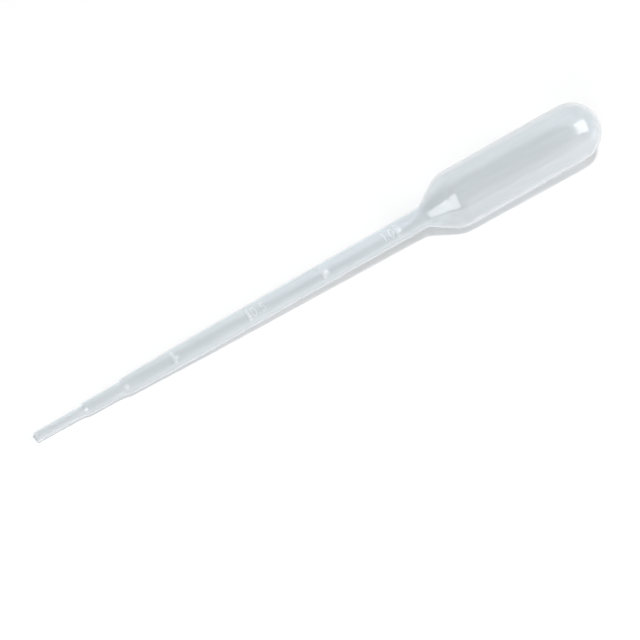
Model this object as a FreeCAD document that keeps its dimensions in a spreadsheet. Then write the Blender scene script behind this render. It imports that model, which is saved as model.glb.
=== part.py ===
import FreeCAD, Part
import math
import os

import Sketcher
from FreeCAD import Placement, Rotation, Vector

# Dropper pipette, blown in one piece from low-density polyethylene: a fine straight tip, a
# wider lower stem, a slightly tapered stem with four raised graduation bars, a cone and a
# squeeze bulb with a round end. It is hollow throughout and open only at the tip.
#
# Every place is measured along the pipette's own axis from the end of the tip. In the part's
# frame that axis lies along +X, tilted so that the tip and the bulb's shoulder touch z = 0. The
# soft bulb is pressed a little flat where it lies, which keeps the pipette from rolling.

NODE = "pipette"

# Lengths are in millimetres and angles in degrees.
DRIVING_SIZES = [
    ("tip_length", 12.4, "straight tip"),
    ("tip_diameter", 2.4, "outside of the tip"),
    ("tip_cone_length", 1.0, "cone from the tip to the lower stem"),
    ("lower_stem_length", 9.6, "straight lower stem"),
    ("lower_stem_diameter", 3.3, "outside of the lower stem"),
    ("stem_cone_length", 1.0, "cone from the lower stem to the stem's foot"),
    ("foot_diameter", 4.25, "outside of the stem where it starts"),
    ("foot_length", 20.0, "stretch where the stem swells quickly"),
    ("knee_diameter", 4.8, "outside of the stem where the quick swelling ends"),
    ("stem_length", 60.4, "nearly straight stem from there to the neck"),
    ("neck_diameter", 4.95, "outside of the stem where it meets the bulb's cone"),
    ("cone_angle", 31.0, "slope of the bulb's cone against the axis"),
    ("bulb_diameter", 13.6, "outside of the bulb"),
    ("bulb_length", 33.3, "straight side of the bulb between its cone and its round end"),
    ("wall", 0.4, "wall thickness"),
    ("tip_rounding", 0.12, "rounded outer edge of the tip"),
    ("step_rounding", 1.0, "rounding of the two small cones"),
    ("neck_rounding", 3.0, "hollow rounding between the stem and the bulb's cone"),
    ("shoulder_rounding", 8.0, "rounding between the bulb's cone and its side"),
    ("mark_count", 4, "graduation bars"),
    ("mark_width", 1.1, "length of a bar along the axis"),
    ("mark_relief", 0.12, "height of a bar above the stem"),
    ("mark_arc", 75.0, "share of the stem's circle that a bar covers"),
    ("first_mark_gap", 12.2, "stem's foot to the middle of the lowest bar"),
    ("last_mark_gap", 8.2, "middle of the highest bar to the neck"),
    ("rest_roll", 26.0, "turn of the lying pipette about its axis, which brings the bars towards -Y"),
    ("flat_depth", 0.1, "how far the bulb's shoulder is pressed flat where it lies"),
]

# Worked out from the driving sizes: the corners of the outline, and the resting tilt. The
# inner outline runs one wall inside the outer one, so its corners move along the axis too.
WORKED_OUT_SIZES = [
    ("tip_place", "0"),
    ("tip_radius", "tip_diameter / 2"),
    ("lower_stem_radius", "lower_stem_diameter / 2"),
    ("foot_radius", "foot_diameter / 2"),
    ("knee_radius", "knee_diameter / 2"),
    ("neck_radius", "neck_diameter / 2"),
    ("bulb_radius", "bulb_diameter / 2"),
    ("tip_cone_angle", "atan((lower_stem_radius - tip_radius) / tip_cone_length)"),
    ("stem_cone_angle", "atan((foot_radius - lower_stem_radius) / stem_cone_length)"),
    ("lower_stem_start", "tip_length + tip_cone_length"),
    ("lower_stem_end", "lower_stem_start + lower_stem_length"),
    ("foot_start", "lower_stem_end + stem_cone_length"),
    ("knee_place", "foot_start + foot_length"),
    ("neck_place", "knee_place + stem_length"),
    ("shoulder_place", "neck_place + (bulb_radius - neck_radius) / tan(cone_angle)"),
    ("dome_place", "shoulder_place + bulb_length"),
    ("overall_length", "dome_place + bulb_radius"),
    ("inner_tip_radius", "tip_radius - wall"),
    ("inner_lower_stem_radius", "lower_stem_radius - wall"),
    ("inner_foot_radius", "foot_radius - wall"),
    ("inner_knee_radius", "knee_radius - wall"),
    ("inner_neck_radius", "neck_radius - wall"),
    ("inner_bulb_radius", "bulb_radius - wall"),
    ("inner_tip_length", "tip_length + wall * tan(tip_cone_angle / 2)"),
    ("inner_lower_stem_start", "lower_stem_start + wall * tan(tip_cone_angle / 2)"),
    ("inner_lower_stem_end", "lower_stem_end + wall * tan(stem_cone_angle / 2)"),
    ("inner_foot_start", "foot_start + wall * tan(stem_cone_angle / 2)"),
    ("inner_neck_place", "neck_place + wall * tan(cone_angle / 2)"),
    ("inner_shoulder_place", "shoulder_place + wall * tan(cone_angle / 2)"),
    ("inner_step_hollow", "step_rounding + wall"),
    ("inner_step_bulge", "step_rounding - wall"),
    ("inner_neck_rounding", "neck_rounding + wall"),
    ("inner_shoulder_rounding", "shoulder_rounding - wall"),
    ("mark_pitch", "(neck_place - foot_start - first_mark_gap - last_mark_gap) / (mark_count - 1)"),
    # The floor is the line that touches the rounded edge of the tip and the pressed shoulder.
    ("shoulder_centre", "shoulder_place + shoulder_rounding * tan(cone_angle / 2)"),
    ("rest_run", "shoulder_centre - tip_rounding"),
    ("rest_drop", "(bulb_radius - shoulder_rounding) - (tip_radius - tip_rounding)"),
    ("rest_reach", "sqrt(rest_run ^ 2 + rest_drop ^ 2)"),
    ("rest_rise", "shoulder_rounding - flat_depth - tip_rounding"),
    ("rest_tilt", "atan(rest_drop / rest_run) + asin(rest_rise / rest_reach)"),
]

# Corners of the half section from the tip to the dome: each one's place along the axis, its
# distance from the axis, and its rounding if it has one.
OUTER_CORNERS = [
    ("tip_place", "tip_radius", "tip_rounding"),
    ("tip_length", "tip_radius", "step_rounding"),
    ("lower_stem_start", "lower_stem_radius", "step_rounding"),
    ("lower_stem_end", "lower_stem_radius", "step_rounding"),
    ("foot_start", "foot_radius", "step_rounding"),
    ("knee_place", "knee_radius", None),
    ("neck_place", "neck_radius", "neck_rounding"),
    ("shoulder_place", "bulb_radius", "shoulder_rounding"),
    ("dome_place", "bulb_radius", None),
]
INNER_CORNERS = [
    ("tip_place", "inner_tip_radius", None),
    ("inner_tip_length", "inner_tip_radius", "inner_step_hollow"),
    ("inner_lower_stem_start", "inner_lower_stem_radius", "inner_step_bulge"),
    ("inner_lower_stem_end", "inner_lower_stem_radius", "inner_step_hollow"),
    ("inner_foot_start", "inner_foot_radius", "inner_step_bulge"),
    ("knee_place", "inner_knee_radius", None),
    ("inner_neck_place", "inner_neck_radius", "inner_neck_rounding"),
    ("inner_shoulder_place", "inner_bulb_radius", "inner_shoulder_rounding"),
    ("dome_place", "inner_bulb_radius", None),
]

# Sketcher's numbers for the origin, for its horizontal axis and for the points of an edge.
ORIGIN = -1
H_AXIS = -1
START = 1
END = 2
CENTRE = 3

# The wall is thin, so the hollow takes at least this share of the solid blank.
LEAST_HOLLOW = 0.5
# How near to z = 0 the lowest point lies.
FLOOR_MATCH = 0.01


def fill_sheet(doc):
    """Write the driving sizes as plain numbers and the worked-out ones as formulas."""
    sheet = doc.addObject("Spreadsheet::Sheet", "Sizes")
    for row, (alias, value, meaning) in enumerate(DRIVING_SIZES, start=1):
        sheet.set(f"A{row}", alias)
        sheet.set(f"B{row}", str(value))
        sheet.set(f"C{row}", meaning)
        sheet.setAlias(f"B{row}", alias)
    doc.recompute()
    for row, (alias, formula) in enumerate(WORKED_OUT_SIZES, start=len(DRIVING_SIZES) + 2):
        sheet.set(f"A{row}", alias)
        sheet.set(f"B{row}", "=" + formula)
        sheet.setAlias(f"B{row}", alias)
        doc.recompute()
    return sheet


def size(sheet, alias):
    """A size as a plain number."""
    value = getattr(sheet, alias)
    return float(getattr(value, "Value", value))


def axis_sketch(body, name):
    """A sketch on the body's XZ plane, where its first axis is the pipette's own."""
    sketch = body.newObject("Sketcher::SketchObject", name)
    planes = [feature for feature in body.Origin.OriginFeatures if feature.Role == "XZ_Plane"]
    sketch.AttachmentSupport = (planes[0], [""])
    sketch.MapMode = "FlatFace"
    return sketch


def bind(sketch, sheet, alias, kind, *points):
    """Add a dimension to the sketch and hold it to a size in the sheet."""
    index = sketch.addConstraint(Sketcher.Constraint(kind, *points, size(sheet, alias)))
    sketch.setExpression(f"Constraints[{index}]", f"Sizes.{alias}")


def rounding(before, corner, after, radius):
    """The arc that rounds a corner, and where it leaves the two runs. The last value says
    whether the arc runs from the first run to the second, or the other way."""
    arriving = (corner - before).normalize()
    leaving = (after - corner).normalize()
    cut_back = radius * math.tan(arriving.getAngle(leaving) / 2)
    start = corner - arriving * cut_back
    end = corner + leaving * cut_back
    forward = arriving.cross(leaving).z > 0
    side = 1 if forward else -1
    centre = start + Vector(-arriving.y, arriving.x, 0) * radius * side
    angles = [math.atan2(point.y - centre.y, point.x - centre.x) for point in (start, end)]
    circle = Part.Circle(centre, Vector(0, 0, 1), radius)
    return Part.ArcOfCircle(circle, *(angles if forward else reversed(angles))), start, end, forward


def half_section(body, sheet, name, corners):
    """Half of a lengthwise section: straight runs between rounded corners, then a quarter
    circle for the dome, closed along the axis."""
    sketch = axis_sketch(body, name)
    points = [Vector(size(sheet, place), size(sheet, radius), 0) for place, radius, _ in corners]
    rim = points[-1]
    centre = Vector(rim.x, 0, 0)
    apex = Vector(rim.x + rim.y, 0, 0)

    run_starts = [Vector(0, 0, 0)] + points[:-1]
    run_ends = list(points)
    arcs = {}
    for corner in range(len(corners) - 1):
        if corners[corner][2]:
            before = run_starts[0] if corner == 0 else points[corner - 1]
            radius = size(sheet, corners[corner][2])
            arc, start, end, forward = rounding(before, points[corner], points[corner + 1], radius)
            arcs[corner] = (arc, forward)
            run_ends[corner] = start
            run_starts[corner + 1] = end
    for start, end in zip(run_starts, run_ends):
        sketch.addGeometry(Part.LineSegment(start, end))
    last_run = len(corners) - 1
    quarter = Part.ArcOfCircle(Part.Circle(centre, Vector(0, 0, 1), rim.y), 0, math.pi / 2)
    dome = sketch.addGeometry(quarter)
    closing = sketch.addGeometry(Part.LineSegment(apex, Vector(0, 0, 0)))

    sketch.addConstraint(Sketcher.Constraint("Coincident", 0, START, ORIGIN, START))
    sketch.addConstraint(Sketcher.Constraint("Vertical", 0))
    for run, (place, radius, rounded) in enumerate(corners[:-1]):
        holder = (run, END)
        if rounded:
            arc, forward = arcs[run]
            bend = sketch.addGeometry(arc)
            first, second = (START, END) if forward else (END, START)
            sketch.addConstraint(Sketcher.Constraint("Tangent", run, END, bend, first))
            sketch.addConstraint(Sketcher.Constraint("Tangent", bend, second, run + 1, START))
            bind(sketch, sheet, rounded, "Radius", bend)
            holder = (sketch.addGeometry(Part.Point(points[run]), True), START)
            sketch.addConstraint(Sketcher.Constraint("PointOnObject", *holder, run))
            sketch.addConstraint(Sketcher.Constraint("PointOnObject", *holder, run + 1))
        else:
            sketch.addConstraint(Sketcher.Constraint("Coincident", run, END, run + 1, START))
        if run > 0:
            bind(sketch, sheet, place, "DistanceX", ORIGIN, START, *holder)
        bind(sketch, sheet, radius, "DistanceY", ORIGIN, START, *holder)

    rim_place, rim_radius, _ = corners[-1]
    bind(sketch, sheet, rim_place, "DistanceX", ORIGIN, START, last_run, END)
    bind(sketch, sheet, rim_radius, "DistanceY", ORIGIN, START, last_run, END)
    sketch.addConstraint(Sketcher.Constraint("Coincident", last_run, END, dome, END))
    bind(sketch, sheet, rim_place, "DistanceX", ORIGIN, START, dome, CENTRE)
    sketch.addConstraint(Sketcher.Constraint("PointOnObject", dome, CENTRE, H_AXIS))
    sketch.addConstraint(Sketcher.Constraint("Coincident", dome, START, closing, START))
    sketch.addConstraint(Sketcher.Constraint("Coincident", closing, END, 0, START))
    sketch.addConstraint(Sketcher.Constraint("Horizontal", closing))
    return sketch


def turn(body, kind, name, sketch):
    """Turn a sketch about the pipette's axis, as added or as removed material."""
    feature = body.newObject(kind, name)
    feature.Profile = sketch
    feature.ReferenceAxis = (sketch, ["H_Axis"])
    feature.Angle = 360
    return feature


def graduation_bar(body, sheet, number):
    """One raised bar: a small rectangle turned through the bar's arc. Its foot is sunk halfway
    into the wall, and its top follows the stem's radius at the bar's own place."""
    place = f"(Sizes.foot_start + Sizes.first_mark_gap + {number} * Sizes.mark_pitch)"
    swelling = f"({place} - Sizes.foot_start) / Sizes.foot_length * (Sizes.knee_radius - Sizes.foot_radius)"
    taper = f"({place} - Sizes.knee_place) / Sizes.stem_length * (Sizes.neck_radius - Sizes.knee_radius)"
    stem_radius = (
        f"({place} < Sizes.knee_place ? Sizes.foot_radius + {swelling} : Sizes.knee_radius + {taper})"
    )
    edges = {
        "low": f"{place} - Sizes.mark_width / 2",
        "high": f"{place} + Sizes.mark_width / 2",
        "foot": f"{stem_radius} - Sizes.wall / 2",
        "top": f"{stem_radius} + Sizes.mark_relief",
    }
    at = {edge: float(sheet.evalExpression(formula)) for edge, formula in edges.items()}

    sketch = axis_sketch(body, f"mark_section_{number + 1}")
    corners = [
        Vector(at["low"], at["foot"], 0),
        Vector(at["high"], at["foot"], 0),
        Vector(at["high"], at["top"], 0),
        Vector(at["low"], at["top"], 0),
    ]
    for side in range(4):
        sketch.addGeometry(Part.LineSegment(corners[side], corners[(side + 1) % 4]))
    for side in range(4):
        sketch.addConstraint(Sketcher.Constraint("Coincident", side, END, (side + 1) % 4, START))
        sketch.addConstraint(Sketcher.Constraint("Horizontal" if side % 2 == 0 else "Vertical", side))
    held = {
        "low": ("DistanceX", 0),
        "high": ("DistanceX", 2),
        "foot": ("DistanceY", 0),
        "top": ("DistanceY", 2),
    }
    for edge, (kind, side) in held.items():
        constraint = Sketcher.Constraint(kind, ORIGIN, START, side, START, at[edge])
        index = sketch.addConstraint(constraint)
        sketch.setExpression(f"Constraints[{index}]", edges[edge])

    bar = body.newObject("PartDesign::Revolution", f"mark_{number + 1}")
    bar.Profile = sketch
    bar.ReferenceAxis = (sketch, ["H_Axis"])
    bar.Midplane = True
    bar.Angle = size(sheet, "mark_arc")
    bar.setExpression("Angle", "Sizes.mark_arc")
    body.Document.recompute()
    return bar


def resting_turn(sheet):
    """The turn from the pipette's own axes to the resting pose: a roll, then the tilt."""
    rolled = Rotation(Vector(1, 0, 0), size(sheet, "rest_roll"))
    bulb_up = Rotation(Vector(0, -1, 0), size(sheet, "rest_tilt"))
    return bulb_up.multiply(rolled)


def floor_level(sheet):
    """Height of the floor against the middle of the tip's end: the rounded edge rests on it."""
    tilt = math.radians(size(sheet, "rest_tilt"))
    edge = size(sheet, "tip_rounding")
    edge_centre = edge * math.sin(tilt) - (size(sheet, "tip_radius") - edge) * math.cos(tilt)
    return edge_centre - edge


def press_flat(body, sheet):
    """Cut the bulb's shoulder off at the floor, with a block that stands under it."""
    block = body.newObject("PartDesign::SubtractiveBox", "resting_flat")
    block.setExpression("Length", "Sizes.dome_place - Sizes.neck_place")
    block.setExpression("Width", "Sizes.bulb_diameter")
    block.setExpression("Height", "Sizes.bulb_radius")
    half_width = size(sheet, "bulb_radius")
    corner = Vector(size(sheet, "neck_place"), -half_width, floor_level(sheet) - half_width)
    resting = Placement(Vector(0, 0, 0), resting_turn(sheet))
    block.Placement = resting.inverse().multiply(Placement(corner, Rotation()))
    body.Document.recompute()


def lay_down(body, sheet):
    """Lay the pipette on the floor at z = 0, with the origin under the middle of its length."""
    turned = resting_turn(sheet)
    body.Placement = Placement(Vector(0, 0, 0), turned)
    middle = body.Shape.optimalBoundingBox(False, False).Center
    body.Placement = Placement(Vector(-middle.x, 0, -floor_level(sheet)), turned)


def check(doc, body, blank_volume, round_volume):
    """Refuse a failed feature, a loose sketch, a bad solid or a cut that removed nothing."""
    for item in doc.Objects:
        faults = {"Invalid", "Error"} & set(item.State)
        if faults:
            raise RuntimeError(f"{item.Label} failed: {sorted(faults)}")
        if item.isDerivedFrom("Sketcher::SketchObject") and not item.FullyConstrained:
            raise RuntimeError(f"{item.Label} is not fully constrained")
    shape = body.Shape
    if shape.isNull() or not shape.isValid() or len(shape.Solids) != 1:
        raise RuntimeError(f"{body.Label} is not one valid solid")
    if shape.Volume > (1 - LEAST_HOLLOW) * blank_volume:
        raise RuntimeError(f"{body.Label} was not hollowed")
    if not shape.Volume < round_volume:
        raise RuntimeError(f"{body.Label} was not pressed flat")
    lowest = min(point.z for point in shape.tessellate(FLOOR_MATCH)[0])
    if abs(lowest) > FLOOR_MATCH:
        raise RuntimeError(f"{body.Label} lies {lowest:.3f} mm off the floor")


def main():
    doc = FreeCAD.newDocument("dropper_pipette")
    sheet = fill_sheet(doc)
    body = doc.addObject("PartDesign::Body", NODE)
    body.Label = NODE

    outer = half_section(body, sheet, "outer_section", OUTER_CORNERS)
    turn(body, "PartDesign::Revolution", "blank", outer)
    doc.recompute()
    for number in range(int(size(sheet, "mark_count"))):
        graduation_bar(body, sheet, number)
    blank_volume = body.Shape.Volume
    inner = half_section(body, sheet, "inner_section", INNER_CORNERS)
    turn(body, "PartDesign::Groove", "hollow", inner)
    doc.recompute()
    round_volume = body.Shape.Volume
    press_flat(body, sheet)
    lay_down(body, sheet)
    doc.recompute()
    check(doc, body, blank_volume, round_volume)

    os.makedirs("parts", exist_ok=True)
    body.Shape.exportStep(os.path.join("parts", body.Label + ".step"))
    box = body.Shape.optimalBoundingBox(False, False)
    print(f"{body.Label}: {body.Shape.Volume:.1f} mm3 of wall, {box.XLength:.1f} mm on the floor")
    print(f"own length {size(sheet, 'overall_length'):.2f}, resting tilt {size(sheet, 'rest_tilt'):.3f}")


main()
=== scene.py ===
"""Dropper pipette, blown in one piece from low-density polyethylene, lying on a pale floor.

X runs from the tip to the bulb, and the front is towards low Y. Every place on the pipette is
measured along its own axis from the end of the tip. The axis leans up towards the bulb, and the
soft bulb is pressed a little flat where it lies.
"""

import math

import bpy
import numpy as np
from bpy.props import FloatProperty, FloatVectorProperty, IntProperty, PointerProperty
from mathutils import Matrix, Vector


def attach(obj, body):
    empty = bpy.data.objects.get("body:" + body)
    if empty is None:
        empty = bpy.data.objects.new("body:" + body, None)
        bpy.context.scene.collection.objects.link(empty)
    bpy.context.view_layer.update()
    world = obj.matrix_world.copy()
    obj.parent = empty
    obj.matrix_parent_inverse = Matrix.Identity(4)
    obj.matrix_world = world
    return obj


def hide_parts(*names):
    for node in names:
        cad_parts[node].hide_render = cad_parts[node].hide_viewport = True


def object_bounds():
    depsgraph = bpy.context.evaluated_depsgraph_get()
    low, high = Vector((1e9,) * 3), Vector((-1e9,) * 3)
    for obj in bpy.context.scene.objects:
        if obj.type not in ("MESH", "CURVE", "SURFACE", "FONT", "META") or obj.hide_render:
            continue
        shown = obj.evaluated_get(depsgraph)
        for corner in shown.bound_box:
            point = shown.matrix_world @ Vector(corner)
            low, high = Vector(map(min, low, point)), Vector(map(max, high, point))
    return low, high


bl_info = {
    "name": "Dropper Pipette",
    "version": (1, 0, 0),
    "blender": (4, 5, 0),
    "location": "View3D > Sidebar > Pipette",
    "description": "Makes a blown polyethylene dropper pipette and a plain stage to show it on",
    "category": "Add Mesh",
}

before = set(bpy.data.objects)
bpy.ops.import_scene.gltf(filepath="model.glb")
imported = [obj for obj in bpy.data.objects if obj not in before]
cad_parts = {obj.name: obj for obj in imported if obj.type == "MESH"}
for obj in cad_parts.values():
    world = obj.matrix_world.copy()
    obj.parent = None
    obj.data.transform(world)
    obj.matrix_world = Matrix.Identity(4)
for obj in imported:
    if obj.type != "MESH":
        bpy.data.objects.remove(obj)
CAD_LOW, CAD_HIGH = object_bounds()
MIDDLE = (CAD_LOW + CAD_HIGH) / 2

MM = 0.001
NODE = "pipette"
SLOT = "polyethylene"

# The mesh's attributes: 1 on the outside of the wall, the height of the marks as a share of a
# bar's, and how far the wall was drawn out. All three are 0 in the hollow.
OUTSIDE = "outside"
RAISED = "raised"
DRAWN = "drawn"


# --- settings ------------------------------------------------------------------------------


def length(name, description, millimetres):
    """A length in metres, written in millimetres."""
    return FloatProperty(
        name=name, description=description, default=millimetres * MM, unit="LENGTH"
    )


def point(name, description, millimetres):
    """A point in metres, written in millimetres."""
    default = [coordinate * MM for coordinate in millimetres]
    return FloatVectorProperty(
        name=name, description=description, default=default, size=3, unit="LENGTH"
    )


def angle(name, description, degrees):
    """An angle in radians, written in degrees."""
    return FloatProperty(
        name=name, description=description, default=math.radians(degrees), subtype="ANGLE"
    )


def share(name, description, default):
    """A number from 0 to 1."""
    return FloatProperty(
        name=name, description=description, default=default, min=0, max=1, subtype="FACTOR"
    )


def level(name, description, default):
    """How bright a light or a surface is, where 1 shows as white."""
    return FloatProperty(name=name, description=description, default=default, min=0)


def colour(name, description, default):
    """A colour, in linear red, green and blue."""
    return FloatVectorProperty(
        name=name, description=description, default=default, size=3, min=0, max=1, subtype="COLOR"
    )


class PipetteSizes(bpy.types.PropertyGroup):
    """Sizes of the pipette."""

    tip_length: length("Tip length", "Straight tip", 12.4)
    tip_diameter: length("Tip diameter", "Outside of the tip", 2.4)
    tip_cone_length: length("Tip cone", "Cone from the tip to the lower stem", 1.0)
    lower_stem_length: length("Lower stem length", "Straight lower stem", 9.6)
    lower_stem_diameter: length("Lower stem diameter", "Outside of the lower stem", 3.3)
    stem_cone_length: length("Stem cone", "Cone from the lower stem to the stem's foot", 1.0)
    foot_diameter: length("Foot diameter", "Outside of the stem where it starts", 4.25)
    foot_length: length("Foot length", "Stretch where the stem swells quickly", 20.0)
    knee_diameter: length("Knee diameter", "Outside of the stem where that ends", 4.8)
    stem_length: length("Stem length", "Nearly straight stem up to the neck", 60.4)
    neck_diameter: length("Neck diameter", "Outside of the stem at the bulb's cone", 4.95)
    cone_angle: angle("Cone angle", "Slope of the bulb's cone against the axis", 31.0)
    bulb_diameter: length("Bulb diameter", "Outside of the bulb", 13.6)
    bulb_length: length("Bulb length", "Straight side of the bulb", 33.3)
    wall: length("Wall", "Wall thickness", 0.4)
    tip_rounding: length("Tip rounding", "Rounded edge that the packed tip rests on", 0.12)
    lip_rounding: length("Lip rounding", "Softer rounding that is made on that edge", 0.3)
    step_rounding: length("Step rounding", "Rounding of the two small cones", 1.0)
    neck_rounding: length("Neck rounding", "Hollow rounding where the bulb's cone starts", 3.0)
    shoulder_rounding: length("Shoulder rounding", "Rounding where the cone ends", 8.0)
    draft_length: length("Draft length", "Stretch where the bulb narrows before its dome", 1.3)
    draft_depth: length("Draft depth", "How much the bulb narrows there", 0.05)
    flat_depth: length("Flat depth", "How far the bulb is pressed flat where it lies", 0.1)


class PipetteMarks(bpy.types.PropertyGroup):
    """Sizes of the raised graduation bars and numbers."""

    bar_count: IntProperty(name="Bars", description="Graduation bars", default=4, min=2)
    bar_width: length("Bar width", "Length of a bar along the axis", 1.1)
    bar_arc: angle("Bar arc", "Angle round the stem that a bar covers", 75.0)
    first_gap: length("First gap", "Stem's foot to the middle of the lowest bar", 12.2)
    last_gap: length("Last gap", "Middle of the highest bar to the neck", 8.2)
    relief: length("Relief", "Height of the bars and numbers above the stem", 0.12)
    slope: length("Slope", "Length of a bar's soft end, round the stem", 0.28)
    turn: angle("Turn", "Middle of the marks, from the top towards the front", 26.0)
    digit_height: length("Digit height", "Height of the numbers, round the stem", 1.9)
    digit_relief: length("Digit relief", "Height of the numbers above the stem", 0.09)
    stroke: length("Stroke", "Thickness of the numbers' strokes", 0.36)
    number_gap: length("Number gap", "Middle of a bar to the number beside it", 0.9)


class PipetteFinish(bpy.types.PropertyGroup):
    """Colours and finish of the plastic."""

    milk: colour("Milk", "Colour of the light that the milky wall scatters", (0.965, 0.98, 0.995))
    clear: colour("Clear tint", "Colour of what shows through the wall", (0.9, 0.965, 1.0))
    shade: colour("Shade tint", "Colour that the wall gives its shadow", (0.68, 0.69, 0.695))
    thin: share("Thin haze", "How milky a wall is that is seen straight on", 0.43)
    thick: share("Edge haze", "How milky a wall is that is seen edge on", 0.56)
    rim: share("Rim haze", "How much milkier than that it is just inside its outline", 0.33)
    forward: share("Forward", "Share of the scattered light that goes on through the wall", 0.3)
    hollow: share("Hollow haze", "How milky the inside of the wall is", 0.04)
    drawn: share("Drawn haze", "How much clearer the wall is where it was drawn out most", 0.075)
    marks: share("Mark haze", "How much milkier the wall is in the marks", 0.14)
    streaks: share("Streaks", "How much the haze varies in streaks along the pipette", 0.16)
    mirror: share("Mirror", "How much the wall mirrors, seen straight on", 0.12)
    edge_mirror: share("Edge mirror", "How much it mirrors, seen edge on", 0.4)
    smooth: share("Smooth", "Roughness of the moulded surface where it is smoothest", 0.04)
    rough: share("Rough", "Roughness of that surface where it is roughest", 0.09)
    ripple: length("Ripple", "Height of the surface's faint ripples", 0.05)


class PipetteStage(bpy.types.PropertyGroup):
    """Floor, lamps and camera."""

    floor_size: length("Floor size", "Side of the square floor", 16000)
    floor_colour: colour("Floor", "Colour of the floor", (0.96, 0.96, 0.96))
    floor_lift: level("Floor lift", "Light that the floor shows on top of what falls on it", 0.02)
    back_wall: level("Back wall", "Light from the white wall behind, at the horizon", 1.15)
    front_wall: level("Front wall", "Light from the wall behind the camera, there", 0.0)
    ceiling: level("Ceiling", "Light from the studio's ceiling", 0.1)
    walls_top: angle("Walls' top", "Height at which the walls have turned into the ceiling", 45)
    top_light: level("Top light", "Light that casts the shadow", 0.62)
    top_spread: angle("Top light's spread", "Angle that the top light fills", 9)
    top_azimuth: angle("Top light's azimuth", "Its turn from the front towards the bulb", -20)
    top_elevation: angle("Top light's elevation", "Its height above the floor", 72)
    lamp_distance: length("Lamp distance", "Softboxes to the pipette", 2400)
    lens: FloatProperty(name="Lens", description="Focal length", default=600, unit="CAMERA")
    look_at: point("Look at", "Point that the camera faces", (-7.156, -10.653, 5.0))
    distance: length("Distance", "Camera to that point", 2350.5)
    azimuth: angle("Azimuth", "Camera's turn from the front towards the bulb", -35.194)
    elevation: angle("Elevation", "Camera's height above the floor", 48.954)


# --- shape ---------------------------------------------------------------------------------

# How finely the surface is divided: on its arcs, along its straight runs, under the numbers,
# along a bar, round a bar's soft end, round the whole pipette, and on a number's round strokes.
ARC_STEP = math.radians(4)
ROW_STEP = 1.5 * MM
FINE_STEP = 0.06 * MM
BAR_ROWS = 15
SLOPE_COLUMNS = 5
COLUMNS = 96
ELLIPSE_POINTS = 21

# Where faces meet at more than this, the edge between them stays sharp.
SHARP_EDGE = math.radians(60)

# How far the wall was drawn out at the end of the tip, at the neck and from the shoulder on.
# Under 0 it is thicker than the bulb's.
DRAWN_OUT = (-0.5, 1, 0)

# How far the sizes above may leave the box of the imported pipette.
BOX_MATCH = 0.03 * MM


def outline(corners):
    """Half of a lengthwise outline: its points (place along the axis, distance from it) and
    the outward direction at each.

    The first corner only gives the direction of the first run, and the dome starts at the
    last one. An arc of the corner's rounding touches both of its runs: it starts
    rounding x tan(half the turn) before the corner, and its centre lies one rounding to the
    side of that. A corner with no rounding is one point that faces halfway between its runs.
    The dome is a quarter circle about the axis.
    """
    points, outward = [], []
    for before, (place, radius, rounding), after in zip(corners, corners[1:], corners[2:]):
        corner = np.array([place, radius])
        arriving = corner - before[:2]
        arriving /= np.linalg.norm(arriving)
        leaving = after[:2] - corner
        leaving /= np.linalg.norm(leaving)
        turn = math.acos(min(1.0, float(arriving @ leaving)))
        bend = math.copysign(1, arriving[0] * leaving[1] - arriving[1] * leaving[0])
        across = np.array([-arriving[1], arriving[0]])
        steps = np.linspace(0, turn, math.ceil(turn / ARC_STEP) + 1) if rounding else [turn / 2]
        facing = np.outer(np.cos(steps), across) - bend * np.outer(np.sin(steps), arriving)
        centre = corner - arriving * rounding * math.tan(turn / 2) + across * rounding * bend
        points.append(centre - bend * rounding * facing)
        outward.append(facing)
    dome_place, dome_radius, _ = corners[-1]
    climb = np.linspace(0, math.pi / 2, math.ceil(math.pi / 2 / ARC_STEP) + 1)
    facing = np.column_stack([np.sin(climb), np.cos(climb)])
    points.append((dome_place, 0) + dome_radius * facing)
    outward.append(facing)
    return np.vstack(points), np.vstack(outward)


def with_rows(points, places):
    """The outline with more points on its runs, at the given places along the axis."""
    inside = places[(places > points[0, 0]) & (places < points[-1, 0])]
    rows = np.union1d(points[:, 0], inside)
    return np.column_stack([rows, np.interp(rows, points[:, 0], points[:, 1])])


def soft_edge(inside, slope):
    """0 outside an edge and 1 from one slope inside it, with a smooth rise between them:
    3t^2 - 2t^3, where t is the depth inside the edge over the slope."""
    t = np.clip(inside / slope, 0, 1)
    return t * t * (3 - 2 * t)


def ellipse(centre, radii, start, end):
    """Points of an ellipse from one angle to another, in degrees."""
    turn = np.radians(np.linspace(start, end, ELLIPSE_POINTS))
    x = centre[0] + radii[0] * np.cos(turn)
    y = centre[1] + radii[1] * np.sin(turn)
    return np.column_stack([x, y])


# The middle line of each character's stroke and the character's width, where a digit is 1 high.
CHARACTERS = {
    "0": (ellipse((0.27, 0.5), (0.27, 0.5), 90, 450), 0.54),
    "1": (np.array([(0, 0.76), (0.22, 1), (0.22, 0)]), 0.22),
    "5": (
        np.vstack([[(0.5, 1), (0.09, 1)], ellipse((0.25, 0.31), (0.29, 0.31), 125, -140)]),
        0.54,
    ),
    ".": (np.array([(0, 0), (0, 0.01)]), 0),
}
CHARACTER_GAP = 0.36

# Each number, the bar that it stands beside, and its side of that bar: 1 is towards the bulb,
# and -1 is towards the tip.
NUMBERS = (("0.5", 1, 1), ("1.0", -1, -1))


def written(text):
    """The strokes of a number, each from one point to another, and the number's width."""
    strokes, width = [], -CHARACTER_GAP
    for character in text:
        line, advance = CHARACTERS[character]
        line = line + (width + CHARACTER_GAP, 0)
        strokes.append(np.hstack([line[:-1], line[1:]]))
        width += CHARACTER_GAP + advance
    return np.vstack(strokes), width


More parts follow.
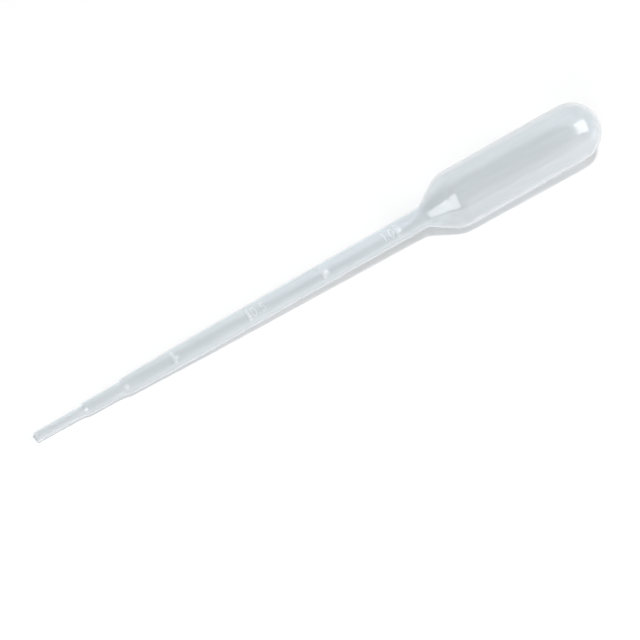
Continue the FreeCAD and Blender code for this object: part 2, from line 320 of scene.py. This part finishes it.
def distance_to(strokes, x, y):
    """Distance from each point to the nearest stroke. The nearest point of a stroke from a to b
    is a + t(b - a), where t is how far along it the point lies, held to 0 to 1."""
    nearest = np.full(np.broadcast_shapes(x.shape, y.shape), np.inf)
    for ax, ay, bx, by in strokes:
        run, rise = bx - ax, by - ay
        t = np.clip(((x - ax) * run + (y - ay) * rise) / (run * run + rise * rise), 0, 1)
        nearest = np.minimum(nearest, np.hypot(x - ax - t * run, y - ay - t * rise))
    return nearest


def once_each(grid):
    """The values of a grid in the order of a closed skin's vertices. Its whole first row is one
    point, and so is its whole last row, so each of them gives one value."""
    middle = grid[1:-1].reshape(-1, *grid.shape[2:])
    return np.concatenate([grid[0, :1], middle, grid[-1, :1]])


def closed_skin(name, rings):
    """A closed mesh over rings of points that share one axis. The first and last ring are each
    a single point. Cell (i, j) joins rings i and i + 1 between columns j and j + 1, and the
    last column joins the first."""
    rows, columns, _ = rings.shape
    vertices = once_each(rings)
    index = 1 + np.arange((rows - 2) * columns).reshape(rows - 2, columns)
    beside = np.roll(index, -1, axis=1)
    cells = np.stack([index[:-1], beside[:-1], beside[1:], index[1:]], axis=-1).reshape(-1, 4)
    first = np.column_stack([np.zeros(columns, int), beside[0], index[0]])
    last = np.column_stack([np.full(columns, len(vertices) - 1), index[-1], beside[-1]])
    mesh = bpy.data.meshes.new(name)
    mesh.from_pydata(vertices.tolist(), [], cells.tolist() + first.tolist() + last.tolist())
    mesh.polygons.foreach_set("use_smooth", np.ones(len(mesh.polygons), bool))
    mesh.set_sharp_from_angle(angle=SHARP_EDGE)
    return mesh


class Places:
    """Places along the axis from the end of the tip, worked out from the sizes: where the neck,
    the shoulder and the dome are, the corners of the outline with their roundings, and the
    middles of the bars. The tilt is how far the axis leans up."""

    def __init__(self, sizes, marks):
        tip, lower, foot, knee, neck, bulb = (
            diameter / 2
            for diameter in (
                sizes.tip_diameter,
                sizes.lower_stem_diameter,
                sizes.foot_diameter,
                sizes.knee_diameter,
                sizes.neck_diameter,
                sizes.bulb_diameter,
            )
        )
        lower_start = sizes.tip_length + sizes.tip_cone_length
        lower_end = lower_start + sizes.lower_stem_length
        foot_place = lower_end + sizes.stem_cone_length
        knee_place = foot_place + sizes.foot_length
        self.neck = knee_place + sizes.stem_length
        self.shoulder = self.neck + (bulb - neck) / math.tan(sizes.cone_angle)
        self.dome = self.shoulder + sizes.bulb_length
        self.corners = [
            (sizes.tip_length, tip, sizes.step_rounding),
            (lower_start, lower, sizes.step_rounding),
            (lower_end, lower, sizes.step_rounding),
            (foot_place, foot, sizes.step_rounding),
            (knee_place, knee, 0),
            (self.neck, neck, sizes.neck_rounding),
            (self.shoulder, bulb, sizes.shoulder_rounding),
            (self.dome - sizes.draft_length, bulb, 0),
            (self.dome + sizes.draft_depth, bulb - sizes.draft_depth, 0),
        ]
        self.bars = np.linspace(
            foot_place + marks.first_gap, self.neck - marks.last_gap, marks.bar_count
        )

        # The floor is the line that touches two circles under the axis: the rounded edge of the
        # tip and the pressed shoulder. It slopes against the axis as the line between their
        # centres does, and by the arc sine of the difference of their radii over its length.
        shoulder_centre = self.shoulder + sizes.shoulder_rounding * math.tan(sizes.cone_angle / 2)
        run = shoulder_centre - sizes.tip_rounding
        drop = (bulb - sizes.shoulder_rounding) - (tip - sizes.tip_rounding)
        rise = sizes.shoulder_rounding - sizes.flat_depth - sizes.tip_rounding
        self.tilt = math.atan(drop / run) + math.asin(rise / math.hypot(run, drop))


def resting_axes(sizes, places):
    """Where the end of the tip lies, and the directions along the axis, to the top and to the
    front. The tip's rounded edge touches the floor below and the low end of the box above. So
    its rounding's centre, which is one rounding up the axis and the rest of the radius away
    from it, lies one rounding above the floor and one inside the box."""
    along = np.array([math.cos(places.tilt), 0, math.sin(places.tilt)])
    top = np.array([-math.sin(places.tilt), 0, math.cos(places.tilt)])
    front = np.array([0, -1, 0])
    edge = sizes.tip_rounding
    reach = sizes.tip_diameter / 2 - edge
    height = edge + reach * math.cos(places.tilt) - edge * math.sin(places.tilt)
    start = CAD_LOW.x + edge + reach * math.sin(places.tilt) - edge * math.cos(places.tilt)
    end = start + places.dome * along[0] + sizes.bulb_diameter / 2
    if abs(end - CAD_HIGH.x) > BOX_MATCH:
        raise RuntimeError(f"bulb ends at {end:.5f} m, and the packed one at {CAD_HIGH.x:.5f} m")
    return np.array([start, 0, height]), along, top, front


def numbers(marks, places):
    """Each number's strokes in metres, the place where it starts and its width."""
    for text, bar, side in NUMBERS:
        strokes, width = written(text)
        width *= marks.digit_height
        start = places.bars[bar] + side * marks.number_gap - (width if side < 0 else 0)
        yield strokes * marks.digit_height, start, width


def relief(marks, places, place, angle, radius):
    """Height of the marks at a place and an angle. Along the axis a bar is a parabola, 1 less
    the square of the share of its half width, and round the stem it has soft ends. A number
    stands within half a stroke of its lines."""
    round_stem = (angle - marks.turn + math.pi) % (2 * math.pi) - math.pi
    up = -round_stem * radius
    along = np.abs(place[..., None] - places.bars).min(axis=-1)
    bars = np.clip(1 - (2 * along / marks.bar_width) ** 2, 0, 1)
    bars = bars * soft_edge((marks.bar_arc / 2 - np.abs(round_stem)) * radius, marks.slope)
    shape = bars * marks.relief
    for strokes, start, _ in numbers(marks, places):
        away = distance_to(strokes, place - start, up + marks.digit_height / 2)
        stroke = soft_edge(marks.stroke / 2 - away, marks.stroke / 2)
        shape = np.maximum(shape, stroke * marks.digit_relief)
    return shape


def mark_rows(marks, places):
    """Places of the close rows that the marks need."""
    rows = [places.bars[:, None] + marks.bar_width * np.linspace(-0.5, 0.5, BAR_ROWS)]
    for _, start, width in numbers(marks, places):
        rows.append(np.arange(start - marks.stroke, start + width + marks.stroke, FINE_STEP))
    return np.concatenate([group.ravel() for group in rows])


def mark_columns(marks, radius):
    """Angles of the even columns of the whole round, and of the close ones for the marks."""
    even = np.arange(COLUMNS) * 2 * math.pi / COLUMNS
    reach = (marks.digit_height / 2 + marks.stroke) / radius
    fine = marks.turn + np.arange(-reach, reach, FINE_STEP / radius)
    ends = marks.bar_arc / 2 - np.linspace(0, marks.slope, SLOPE_COLUMNS) / radius
    ends = marks.turn + np.concatenate([ends, -ends])
    return np.union1d(even, np.concatenate([fine, ends]) % (2 * math.pi))


def pipette_mesh(sizes, marks):
    """The outside and the hollow as one closed skin, from the middle of the hollow's dome to
    the tip and back over the outside. The hollow's outline is the outer one moved one wall
    inwards. A point lies at start + place x along + distance x (cos angle x top +
    sin angle x front), and what would reach under the floor is pressed flat on it."""
    places = Places(sizes, marks)
    start, along, top, front = resting_axes(sizes, places)
    tip = sizes.tip_diameter / 2
    rows = np.arange(0, places.dome, ROW_STEP)

    outer, _ = outline([(0, 0, 0), (0, tip, sizes.lip_rounding), *places.corners])
    outer = with_rows(outer, np.concatenate([rows, mark_rows(marks, places)]))
    line, outward = outline([(-sizes.wall, tip, 0), (0, tip, 0), *places.corners])
    hollow = with_rows(line - sizes.wall * outward, rows)[::-1]

    angles = mark_columns(marks, sizes.knee_diameter / 2)
    place, distance = np.hsplit(np.concatenate([hollow, outer]), 2)
    distance = np.repeat(distance, len(angles), axis=1)
    outside = slice(len(hollow), None)
    raised = relief(marks, places, place[outside], angles, outer[:, 1:])
    distance[outside] += raised

    across = np.cos(angles)[:, None] * top + np.sin(angles)[:, None] * front
    rings = start + place[..., None] * along + distance[..., None] * across
    rings[..., 2] = np.maximum(rings[..., 2], 0)
    mesh = closed_skin(NODE, rings)

    drawn = np.interp(place[outside], [0, places.neck, places.shoulder], DRAWN_OUT)
    for name, values in ((OUTSIDE, 1), (RAISED, raised / marks.relief), (DRAWN, drawn)):
        grid = np.zeros(distance.shape, np.float32)
        grid[outside] = values
        mesh.attributes.new(name, "FLOAT", "POINT").data.foreach_set("value", once_each(grid))
    return mesh


# --- materials -----------------------------------------------------------------------------

WHITE = (1, 1, 1, 1)

# Grains of the haze's streaks, of the surface's ripples and of its gloss: their lengths along
# the pipette and across it, and how many layers of finer grains lie over them.
STREAKS = (30 * MM, 2.6 * MM, 2.0)
RIPPLES = (7 * MM, 2.4 * MM, 1.0)
GLOSS = (1.2 * MM, 0.5 * MM, 2.0)

# A noise node's values are nearly all between these.
NOISE_RANGE = (0.25, 0.75)

# Between these the wall turns into the rim: 0 is seen straight on, and 1 is edge on.
RIM_STARTS = 0.48
RIM_IS_FULL = 0.72


def add_node(tree, kind, inputs=(), **settings):
    """Add a node. Inputs are pairs of a socket's name or number and a value or an output."""
    node = tree.nodes.new(kind)
    for name, value in settings.items():
        setattr(node, name, value)
    for socket, value in dict(inputs).items():
        if isinstance(value, bpy.types.NodeSocket):
            tree.links.new(value, node.inputs[socket])
        else:
            node.inputs[socket].default_value = value
    return node


def new_material(name):
    """A material with an empty tree, and the socket that its shader goes to."""
    material = bpy.data.materials.new(name)
    material.use_nodes = True
    material.node_tree.nodes.clear()
    output = material.node_tree.nodes.new("ShaderNodeOutputMaterial")
    return material, material.node_tree, output.inputs["Surface"]


def calculate(tree, operation, first, second):
    """The output of a Math node."""
    return add_node(tree, "ShaderNodeMath", {0: first, 1: second}, operation=operation).outputs[0]


def between(tree, value, low, high, start=0.0, end=1.0):
    """Low to high, held there outside, while a value goes from start to end."""
    limits = {"From Min": start, "From Max": end, "To Min": low, "To Max": high}
    return add_node(tree, "ShaderNodeMapRange", {"Value": value, **limits}).outputs[0]


def mix_numbers(tree, factor, first, second):
    """The first number where the factor is 0, fading to the second where it is 1."""
    return add_node(tree, "ShaderNodeMix", {0: factor, 2: first, 3: second}).outputs[0]


def mix_colours(tree, factor, first, second):
    """The same between two colours."""
    inputs = {0: factor, 6: first, 7: second}
    return add_node(tree, "ShaderNodeMix", inputs, data_type="RGBA").outputs[2]


def mix_shaders(tree, factor, first, second):
    """The same between two shaders."""
    return add_node(tree, "ShaderNodeMixShader", {0: factor, 1: first, 2: second}).outputs[0]


def attribute(tree, name):
    """The output that gives one of the mesh's attributes."""
    return add_node(tree, "ShaderNodeAttribute", attribute_name=name).outputs["Fac"]


def lengthwise_noise(tree, grains):
    """Noise from 0 to 1 that is drawn out along the pipette."""
    along, across, detail = grains
    place = add_node(tree, "ShaderNodeTexCoord").outputs["Object"]
    scale = (1 / along, 1 / across, 1 / across)
    place = add_node(tree, "ShaderNodeMapping", {"Vector": place, "Scale": scale}).outputs[0]
    inputs = {"Vector": place, "Scale": 1.0, "Detail": detail}
    noise = add_node(tree, "ShaderNodeTexNoise", inputs).outputs["Fac"]
    return between(tree, noise, 0.0, 1.0, *NOISE_RANGE)


def milkiness(tree, finish, edge_on, outside):
    """How milky the wall is. On the outside it is thin seen straight on, thick seen edge on and
    milkier yet at the rim, streaked by 1 plus or minus half the streaks, clearer the more the
    wall was drawn out, and milkier in the marks."""
    haze = between(tree, edge_on, finish.thin, finish.thick)
    rim = between(tree, edge_on, 0.0, finish.rim, RIM_STARTS, RIM_IS_FULL)
    haze = calculate(tree, "ADD", haze, rim)
    streaks = lengthwise_noise(tree, STREAKS)
    streaks = between(tree, streaks, 1 - finish.streaks / 2, 1 + finish.streaks / 2)
    haze = calculate(tree, "MULTIPLY", haze, streaks)
    drawn = calculate(tree, "MULTIPLY", attribute(tree, DRAWN), finish.drawn)
    haze = calculate(tree, "SUBTRACT", haze, drawn)
    raised = calculate(tree, "MULTIPLY", attribute(tree, RAISED), finish.marks)
    haze = calculate(tree, "ADD", haze, raised)
    haze = calculate(tree, "MINIMUM", haze, 1.0)
    return mix_numbers(tree, outside, finish.hollow, haze)


def polyethylene(finish):
    """Milky polyethylene: a film that lets light through, less of it to its shadow than to the
    eye, scatters some of it both ways, and mirrors by m + (e - m) x (1 - cosine)^5, where m is
    the mirroring seen straight on and e edge on, with faint ripples. The haze, the tint and the
    mirroring sit on the outside of the wall, and the hollow's side has only a trace of haze."""
    material, tree, surface = new_material(SLOT)
    outside = attribute(tree, OUTSIDE)
    # With a blend of a half, this is 1 - cosine of the angle that the wall is seen at.
    edge_on = add_node(tree, "ShaderNodeLayerWeight", {"Blend": 0.5}).outputs["Facing"]
    ripple = {"Height": lengthwise_noise(tree, RIPPLES), "Distance": finish.ripple}
    normal = add_node(tree, "ShaderNodeBump", ripple).outputs[0]

    scatter = {"Color": (*finish.milk, 1), "Normal": normal}
    back = add_node(tree, "ShaderNodeBsdfDiffuse", scatter).outputs[0]
    through = add_node(tree, "ShaderNodeBsdfTranslucent", scatter).outputs[0]
    milk = mix_shaders(tree, finish.forward, back, through)

    in_shadow = add_node(tree, "ShaderNodeLightPath").outputs["Is Shadow Ray"]
    tint = mix_colours(tree, in_shadow, (*finish.clear, 1), (*finish.shade, 1))
    tint = mix_colours(tree, outside, WHITE, tint)
    clear = add_node(tree, "ShaderNodeBsdfTransparent", {"Color": tint}).outputs[0]
    wall = mix_shaders(tree, milkiness(tree, finish, edge_on, outside), clear, milk)

    steep = calculate(tree, "POWER", edge_on, 5.0)
    mirrored = between(tree, steep, finish.mirror, finish.edge_mirror)
    mirrored = calculate(tree, "MULTIPLY", mirrored, outside)
    roughness = between(tree, lengthwise_noise(tree, GLOSS), finish.smooth, finish.rough)
    gloss = {"Color": WHITE, "Roughness": roughness, "Normal": normal}
    gloss = add_node(tree, "ShaderNodeBsdfAnisotropic", gloss).outputs[0]
    tree.links.new(mix_shaders(tree, mirrored, wall, gloss), surface)
    return material


def seen_directly(tree):
    """1 for rays from the camera and for those that mirror or glass sends on, otherwise 0."""
    ray = add_node(tree, "ShaderNodeLightPath").outputs
    seen = calculate(tree, "MAXIMUM", ray["Is Camera Ray"], ray["Is Glossy Ray"])
    return calculate(tree, "MAXIMUM", seen, ray["Is Transmission Ray"])


def floor_paint(stage):
    """Pale matt floor that shows white, with the pipette's shadow on it."""
    material, tree, surface = new_material("floor")
    matt = add_node(tree, "ShaderNodeBsdfDiffuse", {"Color": (*stage.floor_colour, 1)})
    lift = calculate(tree, "MULTIPLY", seen_directly(tree), stage.floor_lift)
    glow = add_node(tree, "ShaderNodeEmission", {"Strength": lift})
    both = add_node(tree, "ShaderNodeAddShader", {0: matt.outputs[0], 1: glow.outputs[0]})
    tree.links.new(both.outputs[0], surface)
    return material


# --- stage ---------------------------------------------------------------------------------

# The floor lies this far under the pipette, so that the two share no surface.
FLOOR_GAP = 0.02 * MM

# Each softbox's azimuth, its elevation, and the width and height that it fills seen from the
# pipette, all in degrees, and then how bright it is.
SOFTBOXES = {
    "tip_side": ((-41.9, 33.8, 26, 54), 1.85),
    "bulb_side": ((53, 43, 23, 38), 2.4),
    "front_card": ((22.2, 12, 37, 33), 0.4),
}


def place_object(name, data):
    """Link a new object that holds the data into the scene."""
    placed = bpy.data.objects.new(name, data)
    bpy.context.scene.collection.objects.link(placed)
    return placed


def direction(azimuth, elevation):
    """From the pipette towards something that stands at these angles. Azimuth 0 is in front,
    and positive angles lie towards the bulb."""
    flat = math.cos(elevation)
    return Vector((math.sin(azimuth) * flat, -math.cos(azimuth) * flat, math.sin(elevation)))


def make_floor(stage):
    """A flat square under the pipette."""
    half = stage.floor_size / 2
    mesh = bpy.data.meshes.new("floor")
    corners = [(-half, -half, 0), (half, -half, 0), (half, half, 0), (-half, half, 0)]
    mesh.from_pydata(corners, [], [(0, 1, 2, 3)])
    mesh.materials.append(floor_paint(stage))
    floor = place_object("floor", mesh)
    floor.location.z = -FLOOR_GAP


def make_room(stage):
    """Light from a room whose walls fade into a darker ceiling: the level falls evenly with
    the height of the direction, and evenly from the back to the front. The camera sees plain
    white."""
    world = bpy.data.worlds.new("room")
    world.use_nodes = True
    tree = world.node_tree
    tree.nodes.clear()
    towards = add_node(tree, "ShaderNodeTexCoord").outputs["Generated"]
    towards = add_node(tree, "ShaderNodeSeparateXYZ", {0: towards}).outputs
    walls = between(tree, towards["Y"], stage.front_wall, stage.back_wall, -1.0)
    light = between(tree, towards["Z"], walls, stage.ceiling, 0.0, math.sin(stage.walls_top))
    seen = add_node(tree, "ShaderNodeLightPath").outputs["Is Camera Ray"]
    shown = {"Color": WHITE, "Strength": mix_numbers(tree, seen, light, 1.0)}
    shown = add_node(tree, "ShaderNodeBackground", shown).outputs[0]
    add_node(tree, "ShaderNodeOutputWorld", {"Surface": shown})
    bpy.context.scene.world = world


def aim(thing, towards, distance, target):
    """Stand a lamp or the camera off from the target, facing it, with its top side up."""
    thing.location = target + towards * distance
    thing.rotation_euler = (-towards).to_track_quat("-Z", "Y").to_euler()


def make_top_light(stage):
    """A sun that casts the shadow. The pipette doesn't mirror it."""
    lamp = bpy.data.lights.new("top_light", "SUN")
    lamp.energy = math.pi * stage.top_light
    lamp.angle = stage.top_spread
    top_light = place_object("top_light", lamp)
    aim(top_light, direction(stage.top_azimuth, stage.top_elevation), 1, MIDDLE)
    top_light.visible_glossy = False


def make_softbox(name, angles, brightness, distance):
    """A soft lamp that faces the pipette, with its width in line with the pipette. It is
    2 x distance x tan(half its angle) wide and high, and its power grows with its area, so
    it looks equally bright at any size."""
    azimuth, elevation, width, height = map(math.radians, angles)
    lamp = bpy.data.lights.new(name, "AREA")
    lamp.shape = "RECTANGLE"
    lamp.size = 2 * distance * math.tan(width / 2)
    lamp.size_y = 2 * distance * math.tan(height / 2)
    lamp.energy = brightness * math.pi * lamp.size * lamp.size_y
    box = place_object(name, lamp)
    towards = direction(azimuth, elevation)
    wide = (Vector((1, 0, 0)) - towards * towards.x).normalized()
    turned = Matrix((wide, towards.cross(wide), towards)).transposed().to_4x4()
    box.matrix_world = Matrix.Translation(MIDDLE + towards * distance) @ turned
    box.visible_camera = False


def make_camera(stage):
    """The scene's camera, with its top side up."""
    data = bpy.data.cameras.new("camera")
    data.lens = stage.lens
    data.clip_end = 2 * stage.distance
    camera = place_object("camera", data)
    towards = direction(stage.azimuth, stage.elevation)
    aim(camera, towards, stage.distance, Vector(stage.look_at))
    bpy.context.scene.camera = camera


class PIPETTE_OT_make_pipette(bpy.types.Operator):
    """Make the pipette with its hollow, bars and numbers, in milky polyethylene"""

    bl_idname = "pipette.make_pipette"
    bl_label = "Make Pipette"

    def execute(self, context):
        scene = context.scene
        mesh = pipette_mesh(scene.pipette_sizes, scene.pipette_marks)
        mesh.materials.append(polyethylene(scene.pipette_finish))
        pipette = place_object("pipette_body", mesh)
        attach(pipette, "root")
        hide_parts(NODE)
        return {"FINISHED"}


class PIPETTE_OT_make_stage(bpy.types.Operator):
    """Make the floor, the lamps and the camera"""

    bl_idname = "pipette.make_stage"
    bl_label = "Make Stage"

    def execute(self, context):
        stage = context.scene.pipette_stage
        context.scene.view_settings.view_transform = "Standard"
        make_floor(stage)
        make_room(stage)
        make_top_light(stage)
        for name, (angles, brightness) in SOFTBOXES.items():
            make_softbox(name, angles, brightness, stage.lamp_distance)
        make_camera(stage)
        return {"FINISHED"}


class PIPETTE_PT_sidebar(bpy.types.Panel):
    """Settings and operators of the pipette"""

    bl_idname = "PIPETTE_PT_sidebar"
    bl_label = "Dropper Pipette"
    bl_space_type = "VIEW_3D"
    bl_region_type = "UI"
    bl_category = "Pipette"

    def draw(self, context):
        for name in GROUPS:
            group = getattr(context.scene, name)
            for setting in type(group).__annotations__:
                self.layout.prop(group, setting)
        for operator in OPERATORS:
            self.layout.operator(operator.bl_idname)


GROUPS = {
    "pipette_sizes": PipetteSizes,
    "pipette_marks": PipetteMarks,
    "pipette_finish": PipetteFinish,
    "pipette_stage": PipetteStage,
}
OPERATORS = (PIPETTE_OT_make_pipette, PIPETTE_OT_make_stage)


def register():
    """Register the classes, and give every scene their settings."""
    for item in (*GROUPS.values(), *OPERATORS, PIPETTE_PT_sidebar):
        bpy.utils.register_class(item)
    for name, group in GROUPS.items():
        setattr(bpy.types.Scene, name, PointerProperty(type=group))


def unregister():
    """Take both away again, in the opposite order."""
    for name in GROUPS:
        delattr(bpy.types.Scene, name)
    for item in (PIPETTE_PT_sidebar, *reversed(OPERATORS), *reversed(GROUPS.values())):
        bpy.utils.unregister_class(item)


def main():
    """Make the pipette and its stage."""
    register()
    bpy.ops.pipette.make_pipette()
    bpy.ops.pipette.make_stage()


if __name__ == "__main__":
    main()
